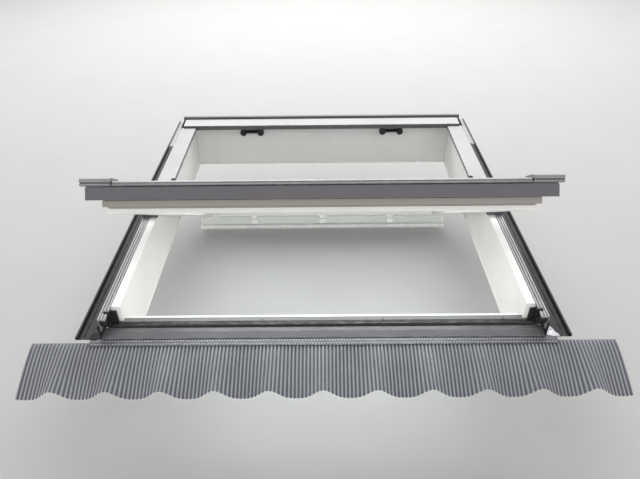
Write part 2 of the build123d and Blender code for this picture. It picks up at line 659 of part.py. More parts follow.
def screws():
    """All the screws: a flat round head on a plain shank, pointing down at the origin."""
    shape = rod_z(0, 0, 0, SCREW_HEAD_T, SCREW_HEAD_R) + rod_z(0, 0, -SCREW_LENGTH, 0, SCREW_R)
    places = [Pos(x, SILL_SCREW_Y, SILL_LEDGE_Z) for x in SILL_SCREWS_X]
    for side in (-1, 1):
        for y, z in PLATE_SCREWS:
            places.append(Pos(side * (INNER_X - PLATE_T), y, z) * Rot(0, -side * 90, 0))
        for middle in (-BRACKET_Y, BRACKET_Y):
            for dy, z in BRACKET_SCREWS:
                places.append(Pos(side * (HALF_W + BRACKET_T), middle + dy, z) * Rot(0, side * 90, 0))
    return Compound([place * shape for place in places])


def build():
    frame, sash = {}, {}
    both("jamb", jamb(), frame)
    frame["head"] = head()
    frame["sill"] = sill()
    frame["sill_cladding"] = sill_cladding()
    frame["sill_gasket"] = sill_gasket()
    both("jamb_cladding", jamb_cladding(), frame)
    both("corner_block", corner_block(), frame)
    both("keeper", keeper(LATCH_X), frame)
    frame["hood"] = hood()
    both("upper_cover", upper_cover(), frame)
    both("frame_plate", frame_plate(), frame)
    frame["front_flashing"] = front_flashing()
    frame["apron"] = apron()
    both("gutter", gutter(), frame)
    both("flashing_corner", flashing_corner(), frame)
    frame["top_flashing"] = top_flashing()
    both("bracket_low", bracket(-BRACKET_Y), frame)
    both("bracket_high", bracket(BRACKET_Y), frame)
    frame["screws"] = screws()

    both("stile", stile(), sash)
    sash["sash_top_rail"] = top_rail()
    sash["sash_bottom_rail"] = bottom_rail()
    glazing(sash)
    sash["bottom_cover"] = bottom_cover()
    both("side_cover", side_cover(), sash)
    both("cover_end", cover_end(), sash)
    both("sash_plate", sash_plate(), sash)
    both("latch_case", latch_case(LATCH_X), sash)
    both("claw", claw(LATCH_X), sash)
    sash["control_bar"] = control_bar()
    both("bar_cap", bar_cap(), sash)
    for name, x in zip(("left", "middle", "right"), BAR_XS):
        sash["bar_hinge_" + name] = bar_hinge(x)
        sash["bar_bracket_" + name] = bar_bracket(x)
    for name, part in sash.items():
        frame[name] = swung(part)
    return frame


os.makedirs("parts", exist_ok=True)
for node, solid in build().items():
    solid.label = node
    export_step(solid, f"parts/{node}.step")
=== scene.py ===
# %% [markdown]
# # A roof window that turns about its middle
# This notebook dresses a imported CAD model: a painted wooden frame, a sash that stands open on two pivots,
# folded aluminium covers, a control bar, side gutters and a pleated apron under the sill.
# The CAD part gives every place and every joint. Blender adds rounded folds, finishes, light and a camera.
# Blender works in metres. Sizes are written in millimetres here and multiplied by MM.
# The window lies flat: X runs to the right, Y up the slope, Z outwards.

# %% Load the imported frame
import json
import math

import bmesh
import bpy
from mathutils import Matrix, Vector, noise


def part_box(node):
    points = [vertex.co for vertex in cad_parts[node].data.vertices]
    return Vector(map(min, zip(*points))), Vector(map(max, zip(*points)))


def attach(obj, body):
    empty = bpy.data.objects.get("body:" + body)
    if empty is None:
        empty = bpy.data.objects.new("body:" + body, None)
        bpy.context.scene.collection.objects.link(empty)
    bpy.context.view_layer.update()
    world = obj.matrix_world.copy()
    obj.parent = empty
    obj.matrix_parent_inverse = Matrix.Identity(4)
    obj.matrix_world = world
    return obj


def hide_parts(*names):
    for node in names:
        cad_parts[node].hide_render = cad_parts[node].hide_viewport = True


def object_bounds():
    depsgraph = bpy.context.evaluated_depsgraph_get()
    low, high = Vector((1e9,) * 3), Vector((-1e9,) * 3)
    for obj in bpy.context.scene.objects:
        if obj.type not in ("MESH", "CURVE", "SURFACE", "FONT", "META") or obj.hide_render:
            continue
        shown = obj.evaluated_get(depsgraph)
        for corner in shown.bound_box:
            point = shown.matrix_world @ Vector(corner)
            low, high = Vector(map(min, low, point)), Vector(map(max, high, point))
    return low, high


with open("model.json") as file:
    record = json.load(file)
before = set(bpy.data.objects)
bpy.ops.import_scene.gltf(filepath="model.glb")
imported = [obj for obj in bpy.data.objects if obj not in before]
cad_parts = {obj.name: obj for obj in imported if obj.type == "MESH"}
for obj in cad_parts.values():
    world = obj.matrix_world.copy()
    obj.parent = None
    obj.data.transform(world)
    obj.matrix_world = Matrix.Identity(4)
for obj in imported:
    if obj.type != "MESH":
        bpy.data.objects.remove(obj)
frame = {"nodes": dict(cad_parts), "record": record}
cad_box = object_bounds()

MM = 0.001

# %% [markdown]
# ## Camera
# The photograph was taken from below the sill, looking up the slope and down on the window. The camera's
# place and turn were found by matching straight edges whose real places are known: the covers, the hood, the
# sill and the sash ends. The focal length came out of that match in pixels, and the lens is worked out from
# it.

# %% Camera at the photograph's place
PHOTO_WIDTH = 640
FOCAL_PIXELS = 559.7
CAMERA_PLACE = (0.0017, -1.897, 1.2429)
LOOK_DOWN = math.radians(36.0)
LOOK_ASIDE = math.radians(-0.35)
ROLL = math.radians(-0.68)

camera = bpy.data.objects.new("camera", bpy.data.cameras.new("camera"))
bpy.context.scene.collection.objects.link(camera)
bpy.context.scene.camera = camera
camera.data.sensor_width = 36
camera.data.lens = camera.data.sensor_width * FOCAL_PIXELS / PHOTO_WIDTH
heading = Matrix.Rotation(-LOOK_ASIDE, 4, "Z") @ Matrix.Rotation(math.pi / 2 - LOOK_DOWN, 4, "X")
camera.matrix_world = Matrix.Translation(CAMERA_PLACE) @ heading @ Matrix.Rotation(ROLL, 4, "Z")
print("lens", round(camera.data.lens, 2), "mm")

# %% [markdown]
# ## Values that can be reckoned with
# A material is a tree of nodes. Wrapping a socket in a small class lets Python's own signs add the Math
# nodes, so `1 - mask * 0.4` reads as what it means. Every other node comes from one method.

# %% The socket class and the one node method
class Value:
    """An output socket that can be reckoned with."""

    def __init__(self, socket):
        self.socket = socket

    def node(self, kind, settings=(), sockets=(), output=0):
        """Adds a node to the same tree: its settings first, then values or links for its sockets."""
        return add_node(self.socket.id_data, kind, settings, sockets, output)

    def reckon(self, operation, first, second):
        return self.node("ShaderNodeMath", {"operation": operation}, {0: first, 1: second})

    def __add__(self, other):
        return self.reckon("ADD", self, other)

    def __sub__(self, other):
        return self.reckon("SUBTRACT", self, other)

    def __rsub__(self, other):
        return self.reckon("SUBTRACT", other, self)

    def __mul__(self, other):
        return self.reckon("MULTIPLY", self, other)

    __radd__ = __add__
    __rmul__ = __mul__

    def over(self, limit):
        """1 where the value is more than limit, and 0 elsewhere."""
        return self.reckon("GREATER_THAN", self, limit)

    def rise(self, low, high):
        """Goes from 0 at low to 1 at high."""
        sockets = {"Value": self, "From Min": low, "From Max": high}
        return self.node("ShaderNodeMapRange", {"clamp": True}, sockets)


def add_node(tree, kind, settings=(), sockets=(), output=0):
    """A node's settings come first, because they decide which sockets it has."""
    node = tree.nodes.new(kind)
    for name, value in dict(settings).items():
        setattr(node, name, value)
    for name, value in dict(sockets).items():
        if isinstance(value, Value):
            tree.links.new(value.socket, node.inputs[name])
        else:
            node.inputs[name].default_value = value
    return Value(node.outputs[output]) if node.outputs else node


# %% [markdown]
# ## Light
# Outdoors the sky behind the ridge is far brighter than anything else, and it shows in every upward face that
# is seen at a flat angle. A wide soft lamp behind the window does the same, and a plain pale world fills the
# rest. The world is white to the camera, to gloss and through glass, whatever its strength as a lamp. A low
# lamp in front stands for the sky near the horizon, and it reaches under the raised sash.

# %% World and lamps
FILL = 1.0
SKY_RADIANCE = 7.0
FRONT_RADIANCE = 1.6
WHITE = (1, 1, 1, 1)


def lamp(name, place, aim, width, height, radiance):
    """A rectangular soft lamp that shines from place to aim."""
    light = bpy.data.lights.new(name, "AREA")
    light.shape = "RECTANGLE"
    light.size = width
    light.size_y = height
    light.energy = radiance * math.pi * width * height
    holder = bpy.data.objects.new(name, light)
    bpy.context.scene.collection.objects.link(holder)
    toward = (Vector(aim) - Vector(place)).to_track_quat("-Z", "Y")
    holder.matrix_world = Matrix.Translation(place) @ toward.to_matrix().to_4x4()
    print(name, round(light.energy), "W")


world = bpy.data.worlds.new("studio")
bpy.context.scene.world = world
world.use_nodes = True
tree = world.node_tree
tree.nodes.clear()
seen = sum(add_node(tree, "ShaderNodeLightPath", output=ray)
           for ray in ("Is Camera Ray", "Is Glossy Ray", "Is Transmission Ray"))
fill = add_node(tree, "ShaderNodeBackground", (), {"Color": WHITE, "Strength": FILL})
plain_white = add_node(tree, "ShaderNodeBackground", (), {"Color": WHITE, "Strength": 1.0})
both_worlds = add_node(tree, "ShaderNodeMixShader", (), {0: seen.over(0.5), 1: fill, 2: plain_white})
add_node(tree, "ShaderNodeOutputWorld", (), {"Surface": both_worlds})
lamp("sky_behind_the_ridge", place=(0, 5.2, 4.3), aim=(0, 0.1, 0.1), width=6.4, height=4.2,
     radiance=SKY_RADIANCE)
lamp("low_sky_in_front", place=(0, -3.8, 0.15), aim=(0, -0.4, 0.25), width=6.0, height=1.1,
     radiance=FRONT_RADIANCE)

# %% [markdown]
# ## Finishes
# Each finish starts from the object's own coordinates in metres, so a pattern keeps its real size on every
# piece. The sash pieces are tilted by the open angle, so a pattern that runs along them is turned with them.
# Edges that have been eased carry a number called worn, and paint or lacquer is thinner there.

# %% Helpers for every finish
behaviour = frame["record"]["behaviour"]
joints = {joint["name"]: joint for joint in behaviour["joints"]}
OPEN = math.radians(-joints["sash_pivot"]["range_deg"][0])
PIVOT = Vector(joints["sash_pivot"]["pos_m"])
DUST = (0.30, 0.29, 0.27, 1)
finishes = {}


def new_tree(name):
    material = bpy.data.materials.new(name)
    material.use_nodes = True
    material.node_tree.nodes.clear()
    return material, material.node_tree


def place_in(tree, turned=False, stretch=(1, 1, 1)):
    """Object coordinates, turned back with the sash where asked, then stretched."""
    where = add_node(tree, "ShaderNodeTexCoord", output="Object")
    if turned:
        where = where.node("ShaderNodeMapping", (), {"Vector": where, "Rotation": (OPEN, 0, 0)})
    return where.node("ShaderNodeMapping", (), {"Vector": where, "Scale": stretch})


def clouds(where, scale, detail=4.0, roughness=0.55):
    sockets = {"Vector": where, "Scale": scale, "Detail": detail, "Roughness": roughness}
    return where.node("ShaderNodeTexNoise", (), sockets)


def mixed(share, first, second):
    """A colour between first and second."""
    sockets = {0: share, 6: first, 7: second}
    return share.node("ShaderNodeMix", {"data_type": "RGBA"}, sockets, output=2)


def worn_edges(tree, where):
    """Where an eased edge is rubbed, in patches."""
    worn = add_node(tree, "ShaderNodeAttribute", {"attribute_name": "worn"}, output="Fac")
    return worn * clouds(where, 35.0).rise(0.45, 0.65)


def finish(material, tree, colour, roughness, height, distance, constants=()):
    """Ends a tree with a bump, a surface shader and the output."""
    normal = height.node("ShaderNodeBump", (), {"Strength": 0.6, "Distance": distance, "Height": height})
    sockets = {"Base Color": colour, "Roughness": roughness, "Normal": normal, **dict(constants)}
    shader = height.node("ShaderNodeBsdfPrincipled", (), sockets)
    height.node("ShaderNodeOutputMaterial", (), {"Surface": shader})
    return material


print("sash open by", round(math.degrees(OPEN), 1), "degrees")

# %% [markdown]
# ## White paint on wood
# The frame and the sash are timber under white satin paint. The film is thin, so the grain still stands out a
# little in the gloss. Noise that is stretched along the timber gives a grain of any length with no image, and
# its height feeds the bump. A broad, unstretched noise makes the white uneven, as old paint is.

# %% White paint
PAINT = (0.885, 0.875, 0.855, 1)
PAINT_SHADE = (0.84, 0.83, 0.805, 1)
GRAIN_ALONG_X = (1.5, 60, 60)
GRAIN_ALONG_Y = (60, 1.5, 60)


def white_paint(name, stretch, turned=False):
    """Satin paint whose film still follows the grain."""
    material, tree = new_tree(name)
    grain = clouds(place_in(tree, turned, stretch), 2.2, 3.0)
    where = place_in(tree)
    patches = clouds(where, 6.0)
    edges = worn_edges(tree, where)
    colour = mixed(patches.rise(0.35, 0.7), PAINT, PAINT_SHADE)
    colour = mixed(edges * 0.5, colour, (0.55, 0.52, 0.46, 1))
    roughness = 0.34 + patches * 0.16 + grain * 0.08
    return finish(material, tree, colour, roughness, grain, 0.0003, {"Specular IOR Level": 0.4})


finishes["white_paint"] = white_paint("white_paint_along_x", GRAIN_ALONG_X)
finishes["white_paint_y"] = white_paint("white_paint_along_y", GRAIN_ALONG_Y)
finishes["white_paint_tilted"] = white_paint("white_paint_tilted", GRAIN_ALONG_Y, turned=True)
print("white paints:", len(finishes))

# %% [markdown]
# ## Painted shade on the step of the bottom rail
# The step under the grey cover is white paint like the rest of the rail. It lies in the cover's shade, and
# that shade is painted into it as a beige-grey colour. Two materials would need a cut along the step. One
# material that picks its colour by height needs none. The height is the one on the closed sash, so the
# coordinates are turned back by the open angle. A Mapping node turns about the origin and not about the
# pivot, and that shifts every height by the same small amount.

# %% Paint of the bottom rail, with painted shade on its step
STEP_LOW = 22.5
STEP_HIGH = 41.5
# Painted shade: the step is white paint in the cover's shade, and this beige-grey stands for that shade.
STEP_PAINTED_SHADE = (0.275, 0.255, 0.227, 1)


def shader_height(height):
    """A height on the closed sash, as the turned coordinates give it."""
    return height * MM + PIVOT.z * (math.cos(OPEN) - 1)


def rail_paint_with_painted_shade(name):
    """White paint with painted shade, a beige-grey colour, on the step under the cover."""
    material, tree = new_tree(name)
    where = place_in(tree, turned=True)
    height = where.node("ShaderNodeSeparateXYZ", (), {0: where}, output=2)
    grain = clouds(place_in(tree, True, GRAIN_ALONG_X), 2.2, 3.0)
    patches = clouds(where, 6.0)
    # The band between the two heights takes the painted shade.
    painted_shade_band = height.over(shader_height(STEP_LOW)) * (1 - height.over(shader_height(STEP_HIGH)))
    colour = mixed(patches.rise(0.35, 0.7), PAINT, PAINT_SHADE)
    colour = mixed(painted_shade_band, colour, STEP_PAINTED_SHADE)
    colour = mixed(worn_edges(tree, where) * 0.4, colour, (0.50, 0.47, 0.41, 1))
    return finish(material, tree, colour, 0.34 + patches * 0.16, grain, 0.0003)


finishes["rail_paint_with_painted_shade"] = rail_paint_with_painted_shade("rail_paint_with_painted_shade")
print("step with painted shade", STEP_HIGH - STEP_LOW, "mm high")

# %% [markdown]
# ## Lacquered aluminium
# The covers, claddings, flashing and control bar are aluminium sheet with a baked lacquer. Rollers leave
# faint lines along the sheet, and dust settles in patches and specks. Three sizes of noise make all of that,
# so one function serves every lacquer. Only colour, dust and gloss tell them apart. The pale ledge is
# weathered and has little gloss, or the lamp behind the ridge would turn it white.

# %% Lacquers
GREY = (0.09, 0.084, 0.094, 1)
GREY_SHADE = (0.08, 0.075, 0.085, 1)
DARK_DUST = (0.11, 0.105, 0.095, 1)
PALE_DUST = (0.88, 0.88, 0.86, 1)


def lacquer(name, light, dark, dust=DUST, turned=False, roughness=0.24, gloss=0.8):
    """A thin even lacquer with faint roller marks along the sheet and dust that settles in patches."""
    material, tree = new_tree(name)
    where = place_in(tree)
    rolled = clouds(place_in(tree, turned, (3, 220, 220)), 1.0, 2.0)
    patches = clouds(where, 5.0, 5.0)
    specks = clouds(where, 180.0, 2.0).rise(0.62, 0.74)
    edges = worn_edges(tree, where)
    colour = mixed(patches.rise(0.3, 0.7), light, dark)
    colour = mixed(specks * patches * 0.5, colour, dust)
    colour = mixed(edges * 0.6, colour, dust)
    rough = roughness + patches * 0.12 + specks * 0.2 + rolled * 0.04
    height = rolled + specks * 0.5
    return finish(material, tree, colour, rough, height, 0.00012, {"Specular IOR Level": gloss})


finishes["grey_aluminium"] = lacquer("grey_lacquer", GREY, GREY_SHADE)
finishes["grey_aluminium_tilted"] = lacquer("grey_lacquer_tilted", GREY, GREY_SHADE, turned=True)
# Painted shade: this near-black lacquer gives the gutters the shade of their channels and makes them darker
# than the grey lacquer.
finishes["dark_flashing"] = lacquer(
    "lacquer_with_painted_shade", (0.03, 0.029, 0.032, 1), (0.022, 0.021, 0.024, 1), DARK_DUST, roughness=0.5, gloss=0.35)
finishes["sill_lacquer"] = lacquer(
    "sill_lacquer", (0.115, 0.112, 0.122, 1), (0.095, 0.093, 0.101, 1), roughness=0.36, gloss=0.5)
# Painted reflection: the jamb claddings get a lighter grey than the covers, and it stands for the sky's sheen
# on their upward faces.
finishes["strip_lacquer_with_painted_sheen"] = lacquer(
    "strip_lacquer_with_painted_sheen", (0.34, 0.34, 0.35, 1), (0.30, 0.30, 0.31, 1), roughness=0.3)
finishes["ledge_lacquer"] = lacquer(
    "ledge_lacquer", (0.20, 0.20, 0.20, 1), (0.175, 0.175, 0.175, 1), roughness=0.55, gloss=0.25)
finishes["pale_aluminium"] = lacquer(
    "pale_lacquer", (0.70, 0.72, 0.695, 1), (0.66, 0.68, 0.655, 1), PALE_DUST, turned=True, gloss=0.5)
finishes["apron_sheet"] = lacquer("flashing_lacquer", (0.15, 0.155, 0.175, 1), (0.13, 0.135, 0.15, 1))
print("finishes with the lacquers:", len(finishes))

# %% [markdown]
# ## Pleated sheet
# The apron's lacquer is darker in the hollows of the pleats and lighter along their crests: painted shade in
# the hollows and a painted highlight on the crests. A wave texture would drift away from pleats that sway, so
# the mesh itself carries a number called crest, from 0 in a hollow to 1 on a crest, and the material only
# reads it. The stamped dots of the front flashing carry it too.

# %% Lacquer on pleats, with painted shade and painted highlight
PLEAT_HOLLOW_WITH_PAINTED_SHADE = (0.055, 0.057, 0.065, 1)
PLEAT_CREST_WITH_PAINTED_HIGHLIGHT = (0.27, 0.28, 0.31, 1)


def pleated(name, hollow, crest):
    """Lacquered sheet with painted shade where crest is 0 and a painted highlight where it is 1."""
    material, tree = new_tree(name)
    where = place_in(tree)
    height = add_node(tree, "ShaderNodeAttribute", {"attribute_name": "crest"}, output="Fac")
    patches = clouds(where, 7.0, 5.0)
    grit = clouds(where, 260.0, 3.0)
    # The crest number mixes painted shade in the hollows with a painted highlight on the crests.
    colour = mixed((height + patches * 0.5 - 0.25).rise(0.15, 0.95), hollow, crest)
    colour = mixed(grit.rise(0.60, 0.75) * 0.35, colour, DUST)
    rough = 0.26 + patches * 0.12 + (1 - height) * 0.2
    return finish(material, tree, colour, rough, grit, 0.0001, {"Specular IOR Level": 0.8})


finishes["apron_pleats"] = pleated("apron_pleats", PLEAT_HOLLOW_WITH_PAINTED_SHADE, PLEAT_CREST_WITH_PAINTED_HIGHLIGHT)
print("finishes with the pleats:", len(finishes))

# %% [markdown]
# ## Plastic, rubber, zinc and bare metal
# The corner blocks, keepers and seals are black mouldings, the brackets and caps of the control bar are white
# ones, and the pivot plates, fixing brackets, latch and claws are zinc-plated steel. Mouldings show the fine
# grain of their mould, so a very small noise feeds their bump. Plated steel is cloudy, with scratches that
# all run one way.

# %% Mouldings and metals
def moulded(name, light, dark, roughness):
    """Moulded plastic or rubber with a fine spark-eroded grain."""
    material, tree = new_tree(name)
    where = place_in(tree)
    grain = clouds(where, 900.0, 2.0)
    patches = clouds(where, 14.0)
    edges = worn_edges(tree, where)
    colour = mixed(patches.rise(0.3, 0.7), light, dark)
    colour = mixed(edges * 0.35, colour, (0.30, 0.30, 0.30, 1))
    return finish(material, tree, colour, roughness + patches * 0.15, grain, 0.00015)


def metal(name, light, dark, roughness):
    """Zinc-plated steel or bare aluminium, with a cloudy surface and fine scratches along X."""
    material, tree = new_tree(name)
    where = place_in(tree)
    scratches = clouds(place_in(tree, stretch=(8, 500, 500)), 1.0, 3.0)
    patches = clouds(where, 25.0, 5.0)
    colour = mixed(patches.rise(0.3, 0.7), light, dark)
    rough = roughness + patches * 0.2 + scratches * 0.1
    return finish(material, tree, colour, rough, scratches, 0.0001, {"Metallic": 1.0})


for name, light, dark, roughness in (
    ("weathered_screw", (0.12, 0.115, 0.11, 1), (0.07, 0.068, 0.066, 1), 0.5),
    ("light_plastic", (0.25, 0.25, 0.262, 1), (0.22, 0.22, 0.23, 1), 0.45),
    ("black_plastic", (0.018, 0.018, 0.02, 1), (0.012, 0.012, 0.013, 1), 0.4),
    ("black_rubber", (0.02, 0.02, 0.021, 1), (0.013, 0.013, 0.014, 1), 0.6),
    ("white_plastic", (0.92, 0.92, 0.91, 1), (0.88, 0.88, 0.87, 1), 0.3),
):
    finishes[name] = moulded(name, light, dark, roughness)
finishes["steel"] = metal("zinc_plated_steel", (0.50, 0.50, 0.51, 1), (0.38, 0.38, 0.39, 1), 0.38)
finishes["bare_aluminium"] = metal("bare_aluminium", (0.72, 0.73, 0.76, 1), (0.60, 0.61, 0.63, 1), 0.3)
print("finishes with mouldings and metals:", len(finishes))

# %% [markdown]
# ## Glass
# The panes are clear float glass. Glass that bends light throws a shadow like a board's in a path tracer,
# because few paths find a lamp through it. A Light Path node gives shadow rays a plain transparent shader.

# %% Clear glass
def clear_glass(name):
    """Clear glass that lets the light of the lamps through, so that it doesn't shade like a board."""
    material, tree = new_tree(name)
    where = place_in(tree)
    smears = clouds(where, 4.0, 5.0)
    sockets = {
        "Base Color": (0.96, 0.975, 0.97, 1), "Roughness": smears * 0.04, "Transmission Weight": 1.0,
        "IOR": 1.45,
    }
    glass = where.node("ShaderNodeBsdfPrincipled", (), sockets)
    clear = where.node("ShaderNodeBsdfTransparent", (), {"Color": (0.90, 0.915, 0.91, 1)})
    shadow = add_node(tree, "ShaderNodeLightPath", output="Is Shadow Ray")
    both = where.node("ShaderNodeMixShader", (), {0: shadow, 1: glass, 2: clear})
    where.node("ShaderNodeOutputMaterial", (), {"Surface": both})
    return material


finishes["glass"] = clear_glass("clear_glass")
print("all finishes:", len(finishes))

# %% [markdown]
# ## Which finish a node gets
# The record names a slot for each node, and a finish of the same name suits most of them. Some nodes need
# their own: timber whose grain runs another way, or a cover that is lighter than its neighbours.

# %% Finish of each node
OWN_FINISH = {
    "cover_end": "light_plastic", "jamb_cladding": "strip_lacquer_with_painted_sheen", "top_flashing": "grey_aluminium",
    "screws": "weathered_screw", "bar_cap": "white_plastic", "side_cover": "grey_aluminium_tilted",
    "jamb": "white_paint_y", "sash_bottom_rail": "rail_paint_with_painted_shade", "stile": "white_paint_tilted",
}
slots = {entry["node"]: entry["material_slot"] for entry in frame["record"]["subparts"]}
bodies = {node: body for body, nodes in behaviour["bodies"].items() for node in nodes}


def stem_in(table, node):
    """The longest name in the table that the node's name starts with, or None."""
    return max((stem for stem in table if node.startswith(stem)), key=len, default=None)


def finish_for(node):
    return OWN_FINISH.get(stem_in(OWN_FINISH, node), slots[node])


print("nodes with a finish of their own:", sum(stem_in(OWN_FINISH, node) is not None for node in slots))

# %% [markdown]
# ## From a bmesh to a piece
# Every new piece is a bmesh that becomes an object at the origin, with its place in its mesh. It gets a
# finish and rides on a body, and the CAD nodes that it stands for are hidden. Smooth shading with a limit on
# the angle keeps flat faces flat and round folds round, and weighted normals keep a bevel from tinting the
# flat face beside it.

# %% Turn a bmesh into a piece
def show(name, bm, node_names, body, finish_name, smooth_below=40):
    """Makes an object of a bmesh that stands for CAD nodes and rides on their body."""
    mesh = bpy.data.meshes.new(name)
    bm.to_mesh(mesh)
    bm.free()
    mesh.materials.append(finishes[finish_name])
    piece = bpy.data.objects.new(name, mesh)
    bpy.context.scene.collection.objects.link(piece)
    mesh.shade_smooth()
    mesh.set_sharp_from_angle(angle=math.radians(smooth_below))
    even = piece.modifiers.new("even", "WEIGHTED_NORMAL")
    even.keep_sharp = True
    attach(piece, body)
    if node_names:
        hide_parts(*node_names)
    print(name, "faces:", len(mesh.polygons))


# %% [markdown]
# ## Ends that show otherwise
# Three small places look different in the photograph than in the solids. The jambs end a little higher, so
# that the end of the sill shows. The nose of each corner block is thinner. The fold behind the hood stands
# closer to it and higher. The copies of these nodes have the vertices there moved, and the CAD stays. Places
# along Y are in millimetres from the outer face of the sill or of the head.

# %% Move the vertices of those ends
HALF_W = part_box("jamb_right")[1].x / MM
HALF_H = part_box("head")[1].y / MM
JAMB_END = 47
JAMB_END_SHOWN = 67
BLOCK_NOSE_ROOT = 66.8
BLOCK_NOSE_LOW = 46
BLOCK_NOSE_INSET = 18
BLOCK_NOSE_TOP = 63
BLOCK_NOSE_THINNED = 0.35
FOLD_LEAST_Y = 5
FOLD_MOST_Y = 54
FOLD_LEAST_Z = 50
FOLD_ROOT = 6
FOLD_ROOT_SHOWN = -15
FOLD_NARROWED = 0.42
FOLD_CREST_Z = 90
FOLD_RAISED = 13.5


def end_shown(bm, node):
    """Moves vertices of a jamb, a corner block or the top flashing, and leaves other nodes alone."""
    for vertex in bm.verts:
        x, y, z = (abs(vertex.co.x) / MM, vertex.co.y / MM, vertex.co.z / MM)
        from_sill = y + HALF_H
        from_head = y - HALF_H
        if node in ("jamb_left", "jamb_right") and abs(from_sill - JAMB_END) < 0.1:
            vertex.co.y = (JAMB_END_SHOWN - HALF_H) * MM
        in_nose = x < HALF_W - BLOCK_NOSE_INSET and from_sill > BLOCK_NOSE_LOW and z < BLOCK_NOSE_TOP
        if node.startswith("corner_block") and in_nose:
            vertex.co.y = (BLOCK_NOSE_ROOT - HALF_H + (from_sill - BLOCK_NOSE_ROOT) * BLOCK_NOSE_THINNED) * MM
        in_fold = FOLD_LEAST_Y < from_head < FOLD_MOST_Y and z > FOLD_LEAST_Z
        if node == "top_flashing" and in_fold:
            vertex.co.y = (HALF_H + FOLD_ROOT_SHOWN + (from_head - FOLD_ROOT) * FOLD_NARROWED) * MM
            vertex.co.z += FOLD_RAISED * MM if z > FOLD_CREST_Z else 0


print("frame", round(2 * HALF_W), "x", round(2 * HALF_H), "mm")

# %% [markdown]
# ## Eased edges
# A CAD solid has knife-sharp edges, and no real timber, casting or folded sheet does. An edge that is eased
# by half a millimetre or more catches a thin line of light. The CAD mesh itself is never changed: a merged
# copy of it is bevelled, and the copy stands for the node. On sheets, edges of 12 mm or less stay sharp. The
# widths are in millimetres, and a node takes that of the longest name that its own starts with.

# %% Copy a node, merge it and ease its edges
SAME_PLACE = 0.000002
FLAT = 0.005
SHARP = 0.6


def eased(node, width, shortest=0.0):
    """A merged copy of a CAD node whose sharp edges are rounded, apart from those shorter than shortest."""
    bm = bmesh.new()
    bm.from_mesh(frame["nodes"][node].data)
    bmesh.ops.remove_doubles(bm, verts=bm.verts, dist=SAME_PLACE)
    end_shown(bm, node)
    bmesh.ops.remove_doubles(bm, verts=bm.verts, dist=SAME_PLACE)
    bmesh.ops.dissolve_degenerate(bm, dist=SAME_PLACE, edges=bm.edges)
    bmesh.ops.dissolve_limit(bm, angle_limit=FLAT, verts=bm.verts, edges=bm.edges)
    worn = bm.faces.layers.float.new("worn")
    sharp = [
        e for e in bm.edges
        if len(e.link_faces) == 2 and e.calc_face_angle() > SHARP and e.calc_length() > shortest
    ]
    made = bmesh.ops.bevel(bm, geom=sharp, offset=width, offset_type="OFFSET", segments=2, profile=0.5,
                           affect="EDGES", material=-1, clamp_overlap=True)
    for face in made["faces"]:
        face[worn] = 1.0
    return bm


# %% Timber, mouldings, castings and plain sheets
SOLID_EASING = {
    "jamb": 1.5, "head": 1.5, "sill": 1.5, "corner_block": 1.5, "keeper": 1.0, "frame_plate": 0.5,
    "stile": 1.5, "sash_top_rail": 1.5, "sash_bottom_rail": 1.0, "pane_spacer": 0.3, "bead": 0.8,
    "sash_plate": 0.5, "latch_case": 0.4, "bar_hinge": 0.5, "claw": 0.4, "bar_cap": 1.0,
    "bar_bracket": 0.6, "bracket": 0.5,
}
SHEET_EASING = {"jamb_cladding": 0.35, "upper_cover": 0.6, "side_cover": 0.6, "top_flashing": 0.4}
SHEET_SHORTEST = 0.012
DRAWN_LATER = ("sill_cladding", "sill_gasket")

count = 0
for node in frame["nodes"]:
    sheet = stem_in(SHEET_EASING, node)
    solid = stem_in(SOLID_EASING, node)
    if node in DRAWN_LATER:
        continue
    if sheet:
        bm = eased(node, SHEET_EASING[sheet] * MM, SHEET_SHORTEST)
    elif solid:
        bm = eased(node, SOLID_EASING[solid] * MM)
    else:
        continue
    show(node + "_eased", bm, [node], bodies[node], finish_for(node))
    count += 1
print("eased pieces:", count)

# %% [markdown]
# ## Sheets with round folds
# A folded sheet is drawn the way a press brake makes it: a line of points is drawn out along the piece, the
# corners are rounded with a bevel, and the skin then gets its real thickness. The paths are in millimetres
# from the faces of the wooden frame, which are read from the CAD boxes, so they follow it.

# %% Draw a path out, round its folds and thicken it
SHEET = 1.6


def points_from(y, z, steps):
    """Points that are given by their steps from the place (y, z)."""
    return [(y + step_y, z + step_z) for step_y, step_z in steps]


def moved(bm, made, way):
    """Moves the vertices that an operator has just made, in millimetres."""
    new = [item for item in made["geom"] if isinstance(item, bmesh.types.BMVert)]
    bmesh.ops.translate(bm, verts=new, vec=Vector(way) * MM)


def drawn(path, start, end, along="X"):
    """Draws (y, z) points out along X, or (x, z) points along Y. The left side of the path is the inside."""
    bm = bmesh.new()
    bm.faces.layers.float.new("worn")
    if along == "X":
        points = [bm.verts.new(Vector((end, y, z)) * MM) for y, z in path]
        way = (start - end, 0, 0)
    else:
        points = [bm.verts.new(Vector((x, start, z)) * MM) for x, z in path]
        way = (0, end - start, 0)
    edges = [bm.edges.new(pair) for pair in zip(points, points[1:])]
    moved(bm, bmesh.ops.extrude_edge_only(bm, edges=edges), way)
    bm.normal_update()
    return bm


def rounded(bm, radius, segments=3, chosen=lambda edge: True):
    """Rounds the chosen folds and marks their faces as worn."""
    worn = bm.faces.layers.float["worn"]
    folds = [e for e in bm.edges if len(e.link_faces) == 2 and e.calc_face_angle() > 0.15 and chosen(e)]
    made = bmesh.ops.bevel(bm, geom=folds, offset=radius * MM, offset_type="OFFSET", segments=segments,
                           profile=0.5, affect="EDGES", material=-1, clamp_overlap=True)
    for face in made["faces"]:
        face[worn] = 1.0


def thickened(bm, thickness=SHEET):
    bm.normal_update()
    bmesh.ops.solidify(bm, geom=bm.faces[:], thickness=thickness * MM)


